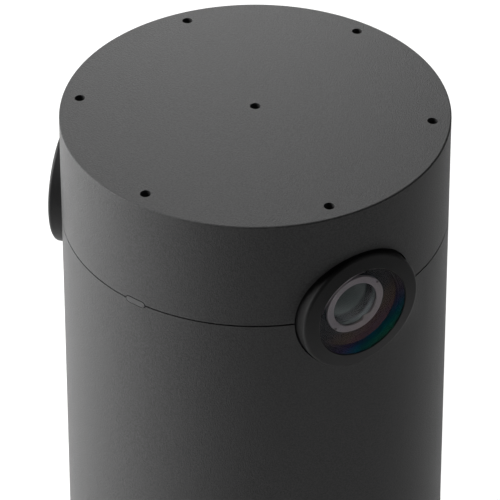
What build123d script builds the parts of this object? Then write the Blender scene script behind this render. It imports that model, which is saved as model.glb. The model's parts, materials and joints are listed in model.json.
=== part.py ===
"""Table-top camera column with two fixed lenses, a microphone array and a status light.

Millimetres, +Z up. The origin is on the table, on the column's axis. The status light faces -Y.
An azimuth is measured from -Y towards +X, and a depth is a distance from the column's axis.
"""
from build123d import *
from math import cos, radians, sin
import os

# ---- Column ---------------------------------------------------------------------------------
TOP_RADIUS = 43.5  # radius where the side meets the top
RIM_HEIGHT = 270.0
DOME_RISE = 1.1
TAPER = 0.0155  # radius gained per millimetre downward
RIM_FILLET = 0.35
SEAM_HEIGHT = RIM_HEIGHT - 26.3
SEAM_GAP = 0.42
SHELL_BOTTOM = 2.0
SHELL_WALL = 2.6
CAP_WALL = 1.8
CAP_CEILING = RIM_HEIGHT - 2.1  # flat underside of the cap
LIP = 1.4  # thickness of the shell outside the seam tongue
TONGUE_RISE = 2.5
SHELL_FILLET = 0.8  # bottom edge
FIT = 0.1  # gap between two mating plastic faces
ROOT = 0.5  # how far a boss or post runs into the wall that it stands on
CAP_BOSS_RING = 36.0
CAP_BOSS_AZIMUTHS = (25, -25, 150, -150)
CAP_BOSS_RADIUS = 3.0
CAP_BOSS_DRILLING = 12.0
POST_RING = 20.0
POST_AZIMUTHS = (30, 150, 270)
POST_RADIUS = 2.5
POST_DRILLING = 2.2

# ---- Microphones ----------------------------------------------------------------------------
MIC_RING = 39.35
MIC_HOLE = 1.2  # radius
MIC_AZIMUTHS = range(0, 360, 60)
MIC_BOARD_RADIUS = 41.0
MIC_GASKET = 1.0  # thickness
BOARD = 1.6  # thickness of every circuit board
MIC_BOARD_TOP = CAP_CEILING - MIC_GASKET
MIC_BODY = (3.5, 2.65, 1.0)  # tangential, radial, height
MIC_PORT = 0.4  # radius of the port through the board
GASKET_RADIUS = 2.0

# ---- Status light ---------------------------------------------------------------------------
LIGHT_SIZE = (5.4, 1.85)  # opening
LIGHT_GROOVE = 0.2  # gap round the light guide
LIGHT_PROUD = 0.04
LIGHT_FLANGE = (8.0, 4.0, 1.0)
LIGHT_GAP = 0.4  # from the flange to the inside of the shell
LED_GAP = 0.7  # from the flange to the lamp
LED_BOARD = (14.0, 8.0)
LED_BODY = (3.0, 1.4, 1.0)

# ---- Lenses, as depths and radii about each lens axis ----------------------------------------
LENS_AZIMUTHS = {"a": 67.5, "b": -67.5}
LENS_OPENING = 14.93
BEZEL_RADIUS = 14.6
BEZEL_EDGE = 44.7  # depth of the outer edge of the bevel
BEZEL_CREST = 45.4  # depth of the inner edge of the bevel
BEZEL_ROUND = 0.8
BEZEL_BACK = 36.0
BEZEL_SHELF = (0.75, 1.1)  # width and thickness of the shelf under the glass
GLASS_RADIUS = 10.95
GLASS_SEAT = 43.1
GLASS_EDGE = 45.3
GLASS_RISE = 1.0
GLASS_CHAMFER = 0.15
GLASS_LAND = 1.1  # width of the flat back rim of the glass
BARREL_FLANGE = 11.9
BARREL_FLANGE_DEPTH = 3.8
BARREL_FRONT = 41.3
BARREL_TUBE = 8.0
BARREL_BACK = 24.0
BARREL_DISH = (9.6, 8.6, 0.7)  # outer and inner radius of the dished front, and its depth
BARREL_THROAT = 4.6
ELEMENT_FIT = 0.05
RING_RADIUS = 7.15
RING_BORE = 5.45
RING_BACK = 41.2
RING_FRONT = 41.9
RING_CHAMFER = (0.25, 0.4, 0.12)  # inside the bore, its length, and on the front rims
RING_NOTCH = (1.2, 1.3, 0.4)
RING_NOTCH_TURN = 40.0
ELEMENT_RADIUS = 6.2
ELEMENT_BACK = 37.05
ELEMENT_EDGE = 40.3
ELEMENT_CREST = 43.8
REAR_ELEMENT = (4.0, 25.0, 27.5)  # radius, back, front
REAR_RISE = 0.6
HOLDER_RADIUS = 10.0
HOLDER_FRONT = 31.0
HOLDER_FLANGE = (24.0, 2.5)  # side and thickness
SENSOR_PLANE = 20.0  # depth of the front face of the sensor board
SENSOR_BODY = (9.0, 7.5, 1.0)
SENSOR_BOARD = 26.0
MODULE_HOLE_SPACING = 19.2
MODULE_PLATE = (14.4, 16.4)  # back and front of the bracket's upright plate
MODULE_POST = 2.6
MODULE_WINDOW = 6.0
SEAL_DEPTHS = (34.6, 38.0)
SEAL_WIDTH = 1.4

# ---- Inner structure, as heights -------------------------------------------------------------
BRACKET_BOTTOM = 222.0
BRACKET_TOP = 224.5
BRACKET_RADIUS = 39.5
MAIN_BOARD_BOTTOM = 203.0
MAIN_BOARD_TOP = MAIN_BOARD_BOTTOM + BOARD
MAIN_RADIUS = 37.0
PLATFORM_TOP = 201.0
PLATFORM_BOTTOM = 198.0
FOOT_PLATE = (10.5, 13.0)
SPACER_RING = 33.0
SPACER_AZIMUTHS = (45, 135, 225, 315)
RAIL_AZIMUTHS = (0, 110, -110)
RAIL_RING = 35.0
RAIL_SIZE = (10.0, 3.0)
STANDOFF_RADIUS = 3.0
STANDOFF_HEX = 2.9
STUD_LENGTH = 5.0
SINK_BOTTOM = 110.0
SINK_RADIUS = 31.0
SINK_CORE = 10.0
SINK_FINS = 16
SINK_FIN = 1.6
SINK_TOP = 6.0  # thickness of the solid top of the heat sink
SINK_SCREW_RING = 24.0
CHIP_SIZE = 16.0
PAD = 0.5
CAN_PLACE = (0, -7)
CAN_SIZE = (22.0, 22.0, 3.0)
CAN_WALL = 0.3
MEMORY_SIZE = (12.0, 9.0)
MEMORY_PLACES = [(-18, 14), (18, 14)]
RADIO_SIZE = (14.0, 12.0)
CHIP_HEIGHT = 1.1
COIL_SIZE = (6.0, 3.0)
COIL_PLACES = [(-30, 2), (30, 2)]

# ---- Flat cables and their connectors --------------------------------------------------------
CABLE = 0.3  # thickness
CAMERA_CABLE = 10.0  # width of each cable
MIC_CABLE = 8.0
LIGHT_CABLE = 4.0
IO_CABLE = 12.0
MIC_CABLE_Y = 20.0
LIGHT_CABLE_Y = -33.0
IO_CABLE_Y = 31.5
CABLE_ENTRY = 1.0  # height of a cable's end inside its connector
CONNECTOR_RIM = 1.5  # wall of a connector beyond each edge of its cable
CONNECTOR_DEPTH = 2.6
CONNECTOR_HEIGHT = 2.4
CONNECTOR_SLOT = 0.5

# ---- Base -----------------------------------------------------------------------------------
COVER_TOP = 4.5
COVER_RADIUS = TOP_RADIUS + TAPER * RIM_HEIGHT - SHELL_WALL - 0.25
FOOT_RADII = (40.4, 43.8)
FOOT_RECESS = 1.0
FOOT_FILLET = 0.6
BASE_BOSS_RING = 36.8
BASE_BOSS_RADIUS = 3.0
BASE_BOSS_TOP = 16.0
BASE_BOSS_DRILLING = 9.5
BASE_RIB = (2.0, 8.0)  # width and depth of the rib that joins a boss to the shell
BASE_SCREW = 7.0  # length
HEAD_POCKET = 0.3  # gap round a sunk screw head
BALLAST_RADIUS = 33.3
HUB_RADIUS = 8.0
INSERT_RADIUS = 4.6
INSERT_TOP = 9.0
INSERT_BORE = 2.55  # minor radius of a quarter-inch camera thread
BALLAST_SCREW_RING = 20.0
CHASSIS_SCREW_RING = 26.0
CHASSIS_SCREW_AZIMUTHS = (60, 180, 300)

# ---- Socket bay at the back, y to the rear ---------------------------------------------------
BAY_SIZE = (40.0, 19.0)
BAY_HEIGHT = 24.5
BAY_WALL = 1.6
BAY_CORNER = 2.0
BAY_REACH = 12.0
PANEL_FACE = 40.5
PANEL = 2.0
IO_BOARD_TOP = 17.6
IO_BOARD_SPAN = (18.0, 38.3)  # front and rear edges
IO_BOARD_WIDTH = 38.0
IO_CONNECTOR_Y = 20.0
IO_SCREWS = [(-16, 21), (16, 21)]
IO_POST_RADIUS = 2.4
IO_POST_DRILLING = 2.5
JACK_SIZE = (15.9, 16.0, 13.5)
JACK_X = -9.5
JACK_MOUTH = (11.8, 6.8)
JACK_FLOOR = 2.2  # from the bottom of the jack to its mouth
JACK_STEPS = [(6.1, 0.7), (3.4, 2.2)]  # latch slots: width, and height over the mouth
JACK_STEP_HEIGHT = 1.6
JACK_DEPTH = 12.0
CONTACTS = 8
CONTACT_PITCH = 1.02
CONTACT_SIZE = (0.44, 0.4)
CONTACT_RUN = (2.5, 9.0)  # how far in a contact bends, and how far in it ends
CONTACT_RISE = 1.7
USB_SIZE = (8.94, 7.35, 3.16)
USB_X = 6.0
USB_WALL = 0.3
USB_CORNER = 1.2
USB_BACK = 0.8
USB_TONGUE = (6.7, 0.7, 5.4)
USB_TONGUE_ROOT = (7.6, 1.9, 1.2)
BUTTON_X = 15.0
BUTTON_HEIGHT = 20.6
BUTTON_RADIUS = 2.4
BUTTON_PROUD = 0.8
BUTTON_TRAVEL = 0.6
BUTTON_FIT = 0.08
BUTTON_FLANGE = (2.8, 0.7)
BUTTON_STEM = 1.0
SWITCH_SIZE = (6.0, 5.0, 3.5)
SWITCH_FRONT = 35.0
SWITCH_PLUNGER = (0.9, 0.6)

# ---- Screws: shank radius, head radius, head height ------------------------------------------
M2 = (1.0, 1.9, 1.2)
M2_5 = (1.25, 2.3, 1.4)
M3 = (1.5, 2.7, 1.7)
THREAD_FIT = 0.04
SOCKET_DEPTH = 0.6  # of the head's height

os.makedirs("parts", exist_ok=True)


def column_radius(height):
    """Outer radius of the column's side."""
    return TOP_RADIUS + TAPER * (RIM_HEIGHT - height)


def at(azimuth, ring):
    """Point at an azimuth on a circle about the column's axis."""
    return (ring * sin(radians(azimuth)), -ring * cos(radians(azimuth)))


def ring_of(azimuths, ring):
    """One point for each azimuth on the same circle."""
    return [at(azimuth, ring) for azimuth in azimuths]


def save(builder, name):
    """Label a finished piece and write its file."""
    builder.part.label = name
    export_step(builder.part, f"parts/{name}.step")


def lens_direction(azimuth):
    """Unit vector along a lens axis, outward."""
    return (sin(radians(azimuth)), -cos(radians(azimuth)), 0)


def lens_across(azimuth):
    """Unit vector level with the table and square to a lens axis."""
    return (cos(radians(azimuth)), sin(radians(azimuth)), 0)


def lens_plane(azimuth, depth=0.0):
    """Plane square to a lens axis, with its X level and its Y up."""
    direction = lens_direction(azimuth)
    origin = (direction[0] * depth, direction[1] * depth, SEAM_HEIGHT)
    return Plane(origin=origin, x_dir=lens_across(azimuth), z_dir=direction)


front_plane = lens_plane(0)


def lens_profile(azimuth):
    """Plane that holds a lens axis: X is the radius and Y the depth."""
    return Plane(origin=(0, 0, SEAM_HEIGHT), x_dir=lens_across(azimuth), z_dir=(0, 0, -1))


def lens_axis(azimuth):
    """Axis of one lens."""
    return Axis((0, 0, SEAM_HEIGHT), lens_direction(azimuth))


def solid_column(inset, bottom, top):
    """Solid cone that follows the column's side, set in by a distance."""
    with BuildPart(mode=Mode.PRIVATE) as column:
        with BuildSketch(Plane.YZ):
            with BuildLine():
                Polyline(
                    (0, bottom),
                    (column_radius(bottom) - inset, bottom),
                    (column_radius(top) - inset, top),
                    (0, top),
                    close=True,
                )
            make_face()
        revolve(axis=Axis.Z)
    return column.part


def side_openings():
    """Cores of the lens openings and of the status light's opening."""
    with BuildPart(mode=Mode.PRIVATE) as cores:
        for azimuth in LENS_AZIMUTHS.values():
            with BuildSketch(lens_plane(azimuth, BARREL_BACK)):
                Circle(LENS_OPENING)
            extrude(amount=TOP_RADIUS)
        with BuildSketch(front_plane):
            SlotOverall(*LIGHT_SIZE)
        extrude(amount=2 * TOP_RADIUS)
    return cores.part


def circle_edges(radius):
    """Circular edges of the current part that have a given radius."""
    round_edges = edges().filter_by(GeomType.CIRCLE)
    return round_edges.filter_by(lambda edge: abs(edge.radius - radius) < 0.01)


def bores(plane, places, radius, depth):
    """Round cores that reach below a plane, to be cut out of a part."""
    with BuildPart(mode=Mode.PRIVATE) as cores:
        with BuildSketch(plane):
            with Locations(*places):
                Circle(radius)
        extrude(amount=-depth)
    return cores.part


def facing_down(height):
    """Plane at a height whose normal points down; its Y is the column's -Y."""
    return Plane(origin=(0, 0, height), x_dir=(1, 0, 0), z_dir=(0, 0, -1))


def seen_from_below(places):
    """The same places on a plane that faces down."""
    return [(x, -y) for x, y in places]


def screw_set(seats, size, length):
    """Pan-head socket screws. A seat is a plane that the heads stand on, and the places on it."""
    shank, head, height = size
    with BuildPart() as screws:
        for plane, places in seats:
            with BuildSketch(plane):
                with Locations(*places):
                    Circle(head)
            extrude(amount=height)
            with BuildSketch(plane):
                with Locations(*places):
                    Circle(shank)
            extrude(amount=-length)
            with BuildSketch(plane.offset(height)):
                with Locations(*places):
                    RegularPolygon(radius=shank, side_count=6)
            extrude(amount=-SOCKET_DEPTH * height, mode=Mode.SUBTRACT)
    return screws


def flat_cable(plane, route, bends, width):
    """Ribbon of even thickness along a route drawn on a plane, centred on that plane."""
    with BuildPart() as cable:
        with BuildSketch(plane):
            with BuildLine():
                path = FilletPolyline(*route, radius=bends)
            trace(path, line_width=CABLE)
        extrude(amount=width / 2, both=True)
    return cable


def arc_radius(half_chord, rise):
    """Radius of a shallow arc from half its chord and its rise."""
    return (half_chord**2 + rise**2) / (2 * rise)


# ---- Top cap --------------------------------------------------------------------------------
cap_bottom = SEAM_HEIGHT + SEAM_GAP / 2
lip_top = cap_bottom + TONGUE_RISE + 2 * FIT
with BuildPart() as top_cap:
    with BuildSketch(Plane.YZ):
        with BuildLine():
            Line((column_radius(cap_bottom), cap_bottom), (TOP_RADIUS, RIM_HEIGHT))
            RadiusArc(
                (0, RIM_HEIGHT + DOME_RISE),
                (TOP_RADIUS, RIM_HEIGHT),
                arc_radius(TOP_RADIUS, DOME_RISE),
            )
            Polyline(
                (0, RIM_HEIGHT + DOME_RISE),
                (0, CAP_CEILING),
                (TOP_RADIUS - CAP_WALL, CAP_CEILING),
                (column_radius(lip_top) - CAP_WALL, lip_top),
                (column_radius(lip_top) - LIP + FIT, lip_top),
                (column_radius(cap_bottom) - LIP + FIT, cap_bottom),
                (column_radius(cap_bottom), cap_bottom),
            )
        make_face()
    revolve(axis=Axis.Z)
    fillet(circle_edges(TOP_RADIUS), RIM_FILLET)
    with BuildSketch(Plane.XY.offset(BRACKET_TOP)):
        with Locations(*ring_of(CAP_BOSS_AZIMUTHS, CAP_BOSS_RING)):
            Circle(CAP_BOSS_RADIUS)
    extrude(amount=CAP_CEILING - BRACKET_TOP + ROOT)
    with BuildSketch(Plane.XY.offset(MIC_BOARD_TOP)):
        with Locations(*ring_of(POST_AZIMUTHS, POST_RING)):
            Circle(POST_RADIUS)
    extrude(amount=MIC_GASKET + ROOT)
    add(
        bores(
            Plane.XY.offset(MIC_BOARD_TOP + POST_DRILLING),
            ring_of(POST_AZIMUTHS, POST_RING),
            M2[0] + THREAD_FIT,
            POST_DRILLING,
        ),
        mode=Mode.SUBTRACT,
    )
    add(
        bores(
            Plane.XY.offset(BRACKET_TOP + CAP_BOSS_DRILLING),
            ring_of(CAP_BOSS_AZIMUTHS, CAP_BOSS_RING),
            M2_5[0] + THREAD_FIT,
            CAP_BOSS_DRILLING,
        ),
        mode=Mode.SUBTRACT,
    )
    add(
        bores(
            Plane.XY.offset(RIM_HEIGHT + 2 * DOME_RISE),
            [(0, 0)] + ring_of(MIC_AZIMUTHS, MIC_RING),
            MIC_HOLE,
            RIM_HEIGHT + 2 * DOME_RISE - CAP_CEILING + ROOT,
        ),
        mode=Mode.SUBTRACT,
    )
    add(side_openings(), mode=Mode.SUBTRACT)
save(top_cap, "top_cap")

# ---- Body shell -----------------------------------------------------------------------------
shell_top = SEAM_HEIGHT - SEAM_GAP / 2
tongue_top = cap_bottom + TONGUE_RISE
with BuildPart() as body_shell:
    with BuildSketch(Plane.YZ):
        with BuildLine():
            Polyline(
                (column_radius(SHELL_BOTTOM), SHELL_BOTTOM),
                (column_radius(shell_top), shell_top),
                (column_radius(shell_top) - LIP, shell_top),
                (column_radius(tongue_top) - LIP, tongue_top),
                (column_radius(tongue_top) - SHELL_WALL, tongue_top),
                (column_radius(SHELL_BOTTOM) - SHELL_WALL, SHELL_BOTTOM),
                close=True,
            )
        make_face()
    revolve(axis=Axis.Z)
    fillet(circle_edges(column_radius(SHELL_BOTTOM)), SHELL_FILLET)
    with BuildSketch(Plane.XY.offset(COVER_TOP)):
        for azimuth in SPACER_AZIMUTHS:
            with Locations(at(azimuth, BASE_BOSS_RING)):
                Circle(BASE_BOSS_RADIUS)
            rib_ring = BASE_BOSS_RING + BASE_RIB[1] / 2 + ROOT
            with Locations(Location((*at(azimuth, rib_ring), 0), (0, 0, azimuth))):
                Rectangle(*BASE_RIB)
    extrude(amount=BASE_BOSS_TOP - COVER_TOP)
    add(
        bores(
            Plane.XY.offset(COVER_TOP + BASE_BOSS_DRILLING),
            ring_of(SPACER_AZIMUTHS, BASE_BOSS_RING),
            M2_5[0] + THREAD_FIT,
            BASE_BOSS_DRILLING,
        ),
        mode=Mode.SUBTRACT,
    )
    with BuildSketch(Plane.XZ.offset(-TOP_RADIUS / 2)):
        with Locations((0, BAY_HEIGHT)):
            bay_edge = 2 * (BAY_WALL + 2 * FIT)
            bay_corner = BAY_CORNER + BAY_WALL + 2 * FIT
            RectangleRounded(BAY_SIZE[0] + bay_edge, BAY_SIZE[1] + bay_edge, bay_corner)
    extrude(amount=-TOP_RADIUS, mode=Mode.SUBTRACT)
    add(side_openings(), mode=Mode.SUBTRACT)
save(body_shell, "body_shell")

# ---- Status light ---------------------------------------------------------------------------
flange_front = column_radius(SEAM_HEIGHT) - SHELL_WALL - LIGHT_GAP
with BuildPart() as status_light_pipe:
    with BuildSketch(front_plane.offset(flange_front)):
        SlotOverall(LIGHT_SIZE[0] - 2 * LIGHT_GROOVE, LIGHT_SIZE[1] - 2 * LIGHT_GROOVE)
    extrude(amount=2 * SHELL_WALL)
    add(solid_column(-LIGHT_PROUD, SHELL_BOTTOM, RIM_HEIGHT), mode=Mode.INTERSECT)
    with BuildSketch(front_plane.offset(flange_front - LIGHT_FLANGE[2])):
        RectangleRounded(*LIGHT_FLANGE[:2], LIGHT_SIZE[1] / 2)
    extrude(amount=LIGHT_FLANGE[2])
save(status_light_pipe, "status_light_pipe")

led_front = flange_front - LIGHT_FLANGE[2] - LED_GAP
with BuildPart() as status_led:
    with BuildSketch(front_plane.offset(led_front - LED_BODY[2])):
        Rectangle(*LED_BODY[:2])
    extrude(amount=LED_BODY[2])
    chamfer(edges().group_by(Axis.Y)[0], 0.15)
save(status_led, "status_led")

led_board_front = led_front - LED_BODY[2]
with BuildPart() as status_led_board:
    with BuildSketch(front_plane.offset(led_board_front - BOARD)):
        RectangleRounded(*LED_BOARD, 1)
        with GridLocations(LED_BOARD[0] - 3, 0, 2, 1):
            Circle(LED_BODY[1] / 2, mode=Mode.SUBTRACT)
    extrude(amount=BOARD)
save(status_led_board, "status_led_board")
finger_front = led_board_front - BOARD

# ---- Microphones ----------------------------------------------------------------------------
with BuildPart() as mic_gaskets:
    with BuildSketch(Plane.XY.offset(MIC_BOARD_TOP)):
        with Locations((0, 0), *ring_of(MIC_AZIMUTHS, MIC_RING)):
            Circle(GASKET_RADIUS)
            Circle(MIC_HOLE, mode=Mode.SUBTRACT)
    extrude(amount=MIC_GASKET)
save(mic_gaskets, "mic_gaskets")

with BuildPart() as mic_board:
    with BuildSketch(Plane.XY.offset(MIC_BOARD_TOP - BOARD)):
        Circle(MIC_BOARD_RADIUS)
        with Locations(*ring_of(CAP_BOSS_AZIMUTHS, CAP_BOSS_RING)):
            Circle(CAP_BOSS_RADIUS + 3 * FIT, mode=Mode.SUBTRACT)
        with Locations(*ring_of(POST_AZIMUTHS, POST_RING)):
            Circle(M2[0] + FIT, mode=Mode.SUBTRACT)
        with Locations((0, 0), *ring_of(MIC_AZIMUTHS, MIC_RING)):
            Circle(MIC_PORT, mode=Mode.SUBTRACT)
    extrude(amount=BOARD)
save(mic_board, "mic_board")

with BuildPart() as microphones:
    with BuildSketch(Plane.XY.offset(MIC_BOARD_TOP - BOARD - MIC_BODY[2])):
        Rectangle(*MIC_BODY[:2])
        for azimuth in MIC_AZIMUTHS:
            with Locations(Location((*at(azimuth, MIC_RING), 0), (0, 0, azimuth))):
                Rectangle(*MIC_BODY[:2])
    extrude(amount=MIC_BODY[2])
save(microphones, "microphones")


# ---- Lenses ---------------------------------------------------------------------------------
def lens_bezel(azimuth):
    """Bevelled ring that is seen round the glass, screwed onto the barrel's flange."""
    with BuildPart() as bezel:
        with BuildSketch(lens_profile(azimuth)):
            with BuildLine():
                Polyline(
                    (BARREL_FLANGE + FIT, BEZEL_BACK),
                    (BEZEL_RADIUS, BEZEL_BACK),
                    (BEZEL_RADIUS, BEZEL_EDGE),
                    (GLASS_RADIUS + FIT, BEZEL_CREST),
                    (GLASS_RADIUS + FIT, GLASS_SEAT),
                    (GLASS_RADIUS - BEZEL_SHELF[0], GLASS_SEAT),
                    (GLASS_RADIUS - BEZEL_SHELF[0], GLASS_SEAT - BEZEL_SHELF[1]),
                    (BARREL_FLANGE + FIT, GLASS_SEAT - BEZEL_SHELF[1]),
                    close=True,
                )
            make_face()
        revolve(axis=lens_axis(azimuth))
        axis = lens_axis(azimuth)
        fillet(circle_edges(GLASS_RADIUS + FIT).sort_by(axis)[-1], GLASS_CHAMFER)
        fillet(circle_edges(BEZEL_RADIUS).sort_by(axis)[-1], BEZEL_ROUND)
    return bezel


def front_glass(azimuth):
    """Meniscus of coated glass in the bezel's seat."""
    front_radius = GLASS_RADIUS - GLASS_CHAMFER
    back_radius = GLASS_RADIUS - GLASS_LAND
    with BuildPart() as glass:
        with BuildSketch(lens_profile(azimuth)):
            with BuildLine():
                RadiusArc(
                    (0, GLASS_EDGE + GLASS_RISE),
                    (front_radius, GLASS_EDGE),
                    arc_radius(front_radius, GLASS_RISE),
                )
                Polyline(
                    (front_radius, GLASS_EDGE),
                    (GLASS_RADIUS, GLASS_EDGE - GLASS_CHAMFER),
                    (GLASS_RADIUS, GLASS_SEAT),
                    (back_radius, GLASS_SEAT),
                )
                RadiusArc(
                    (0, GLASS_SEAT + GLASS_RISE),
                    (back_radius, GLASS_SEAT),
                    arc_radius(back_radius, GLASS_RISE),
                )
                Line((0, GLASS_SEAT + GLASS_RISE), (0, GLASS_EDGE + GLASS_RISE))
            make_face()
        revolve(axis=lens_axis(azimuth))
    return glass


def lens_barrel(azimuth):
    """Black tube that holds the glass elements, with a flange behind the bezel."""
    ring_seat = RING_RADIUS + ELEMENT_FIT
    element_seat = ELEMENT_RADIUS + ELEMENT_FIT
    rear_radius, _, rear_front = REAR_ELEMENT
    rear_lip = rear_radius - REAR_RISE
    dish_outer, dish_inner, dish_depth = BARREL_DISH
    flange_back = BARREL_FRONT - BARREL_FLANGE_DEPTH
    with BuildPart() as barrel:
        with BuildSketch(lens_profile(azimuth)):
            with BuildLine():
                Polyline(
                    (BARREL_TUBE, BARREL_BACK),
                    (BARREL_TUBE, flange_back),
                    (BARREL_FLANGE, flange_back),
                    (BARREL_FLANGE, BARREL_FRONT),
                    (dish_outer, BARREL_FRONT),
                    (dish_inner, BARREL_FRONT - dish_depth),
                    (ring_seat, BARREL_FRONT - dish_depth),
                    (ring_seat, RING_BACK),
                    (element_seat, RING_BACK),
                    (element_seat, ELEMENT_BACK),
                    (BARREL_THROAT, ELEMENT_BACK),
                    (BARREL_THROAT, rear_front + 2),
                    (rear_lip, rear_front + 2),
                    (rear_lip, rear_front),
                    (rear_radius + ELEMENT_FIT, rear_front),
                    (rear_radius + ELEMENT_FIT, BARREL_BACK),
                    close=True,
                )
            make_face()
        revolve(axis=lens_axis(azimuth))
    return barrel


def retaining_ring(azimuth):
    """Pale threaded ring that holds the inner element, with two spanner notches."""
    bore_chamfer, bore_length, rim_chamfer = RING_CHAMFER
    with BuildPart() as ring:
        with BuildSketch(lens_profile(azimuth)):
            with BuildLine():
                Polyline(
                    (RING_BORE + bore_chamfer, RING_BACK),
                    (RING_RADIUS, RING_BACK),
                    (RING_RADIUS, RING_FRONT),
                    (RING_BORE, RING_FRONT),
                    (RING_BORE, RING_FRONT - bore_length),
                    close=True,
                )
            make_face()
        revolve(axis=lens_axis(azimuth))
        rims = edges().filter_by(GeomType.CIRCLE).group_by(lens_axis(azimuth))[-1]
        chamfer(rims, rim_chamfer)
        with BuildSketch(lens_plane(azimuth, RING_FRONT)):
            with Locations(Location((0, 0, 0), (0, 0, RING_NOTCH_TURN))):
                with GridLocations(2 * RING_RADIUS, 0, 2, 1):
                    Rectangle(*RING_NOTCH[:2])
        extrude(amount=-RING_NOTCH[2], mode=Mode.SUBTRACT)
    return ring


def inner_lens(azimuth):
    """Steep domed element that shows through the retaining ring."""
    rise = ELEMENT_CREST - ELEMENT_EDGE
    with BuildPart() as lens:
        with BuildSketch(lens_profile(azimuth)):
            with BuildLine():
                RadiusArc(
                    (0, ELEMENT_CREST),
                    (ELEMENT_RADIUS, ELEMENT_EDGE),
                    arc_radius(ELEMENT_RADIUS, rise),
                )
                Polyline(
                    (ELEMENT_RADIUS, ELEMENT_EDGE),
                    (ELEMENT_RADIUS, ELEMENT_BACK),
                    (0, ELEMENT_BACK),
                    (0, ELEMENT_CREST),
                )
            make_face()
        revolve(axis=lens_axis(azimuth))
    return lens


def rear_lens(azimuth):
    """Small element at the back of the barrel."""
    radius, back, front = REAR_ELEMENT
    edge = back + REAR_RISE
    with BuildPart() as lens:
        with BuildSketch(lens_profile(azimuth)):
            with BuildLine():
                RadiusArc((0, back), (radius, edge), -arc_radius(radius, REAR_RISE))
                Polyline((radius, edge), (radius, front), (0, front), (0, back))
            make_face()
        revolve(axis=lens_axis(azimuth))
    return lens


def dust_seal(azimuth):
    """Foam ring that lies round the bezel, just inside the opening."""
    with BuildPart() as seal:
        with BuildSketch(lens_plane(azimuth, SEAL_DEPTHS[0])):
            Circle(BEZEL_RADIUS + SEAL_WIDTH)
            Circle(BEZEL_RADIUS, mode=Mode.SUBTRACT)
        extrude(amount=SEAL_DEPTHS[1] - SEAL_DEPTHS[0])
        add(solid_column(SHELL_WALL + FIT / 2, SHELL_BOTTOM, RIM_HEIGHT), mode=Mode.INTERSECT)
    return seal


def lens_holder(azimuth):
    """Holder on the sensor board that the barrel threads into."""
    flange_side, flange_thickness = HOLDER_FLANGE
    with BuildPart() as holder:
        with BuildSketch(lens_plane(azimuth, SENSOR_PLANE)):
            RectangleRounded(flange_side, flange_side, 2)
        extrude(amount=flange_thickness)
        with BuildSketch(lens_plane(azimuth, SENSOR_PLANE)):
            Circle(HOLDER_RADIUS)
        extrude(amount=HOLDER_FRONT - SENSOR_PLANE)
        with BuildSketch(lens_plane(azimuth, SENSOR_PLANE)):
            Circle(BARREL_TUBE - 1.5)
        extrude(amount=HOLDER_FRONT - SENSOR_PLANE, mode=Mode.SUBTRACT)
        with BuildSketch(lens_plane(azimuth, BARREL_BACK)):
            Circle(BARREL_TUBE + THREAD_FIT)
        extrude(amount=HOLDER_FRONT - BARREL_BACK, mode=Mode.SUBTRACT)
        with BuildSketch(lens_plane(azimuth, SENSOR_PLANE)):
            with GridLocations(MODULE_HOLE_SPACING, MODULE_HOLE_SPACING, 2, 2):
                Circle(M2[0] + FIT)
        extrude(amount=flange_thickness, mode=Mode.SUBTRACT)
    return holder


def image_sensor(azimuth):
    """Sensor package on the front of its board."""
    with BuildPart() as sensor:
        with BuildSketch(lens_plane(azimuth, SENSOR_PLANE)):
            Rectangle(*SENSOR_BODY[:2])
        extrude(amount=SENSOR_BODY[2])
    return sensor


def sensor_board(azimuth):
    """Square circuit board behind the holder."""
    with BuildPart() as board:
        with BuildSketch(lens_plane(azimuth, SENSOR_PLANE - BOARD)):
            RectangleRounded(SENSOR_BOARD, SENSOR_BOARD, 1.5)
            with GridLocations(MODULE_HOLE_SPACING, MODULE_HOLE_SPACING, 2, 2):
                Circle(M2[0] + FIT, mode=Mode.SUBTRACT)
        extrude(amount=BOARD)
    return board


cable_depth = SENSOR_PLANE - BOARD - CABLE / 2
cable_foot = MAIN_BOARD_TOP + CABLE_ENTRY


def camera_flex(azimuth):
    """Flat cable from the back of a sensor board down to the main board, with one slack wave."""
    side_plane = Plane(
        origin=(0, 0, SEAM_HEIGHT), x_dir=lens_direction(azimuth), z_dir=lens_across(azimuth)
    )
    slack = cable_depth + 2
    route = [(cable_depth, 6), (cable_depth, -15), (slack, -22), (slack, -28)]
    route += [(cable_depth, -34), (cable_depth, cable_foot - SEAM_HEIGHT)]
    flipped = [(depth, -height) for depth, height in route]
    return flat_cable(side_plane, flipped, 1.5, CAMERA_CABLE)


LENS_PIECES = {
    "lens_bezel": lens_bezel,
    "front_glass": front_glass,
    "lens_barrel": lens_barrel,
    "retaining_ring": retaining_ring,
    "inner_lens": inner_lens,
    "rear_lens": rear_lens,
    "dust_seal": dust_seal,
    "lens_holder": lens_holder,
    "image_sensor": image_sensor,
    "sensor_board": sensor_board,
    "camera_flex": camera_flex,
}
for piece, make in LENS_PIECES.items():
    for side, lens_azimuth in LENS_AZIMUTHS.items():
        save(make(lens_azimuth), f"{piece}_{side}")

corner = MODULE_HOLE_SPACING / 2
holder_front = SENSOR_PLANE + HOLDER_FLANGE[1]
holder_faces = [lens_plane(azimuth, holder_front) for azimuth in LENS_AZIMUTHS.values()]
corners = [(x, y) for x in (-corner, corner) for y in (-corner, corner)]
module_screws = screw_set([(face, corners) for face in holder_faces], M2, 7.0)
save(module_screws, "module_screws")

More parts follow.
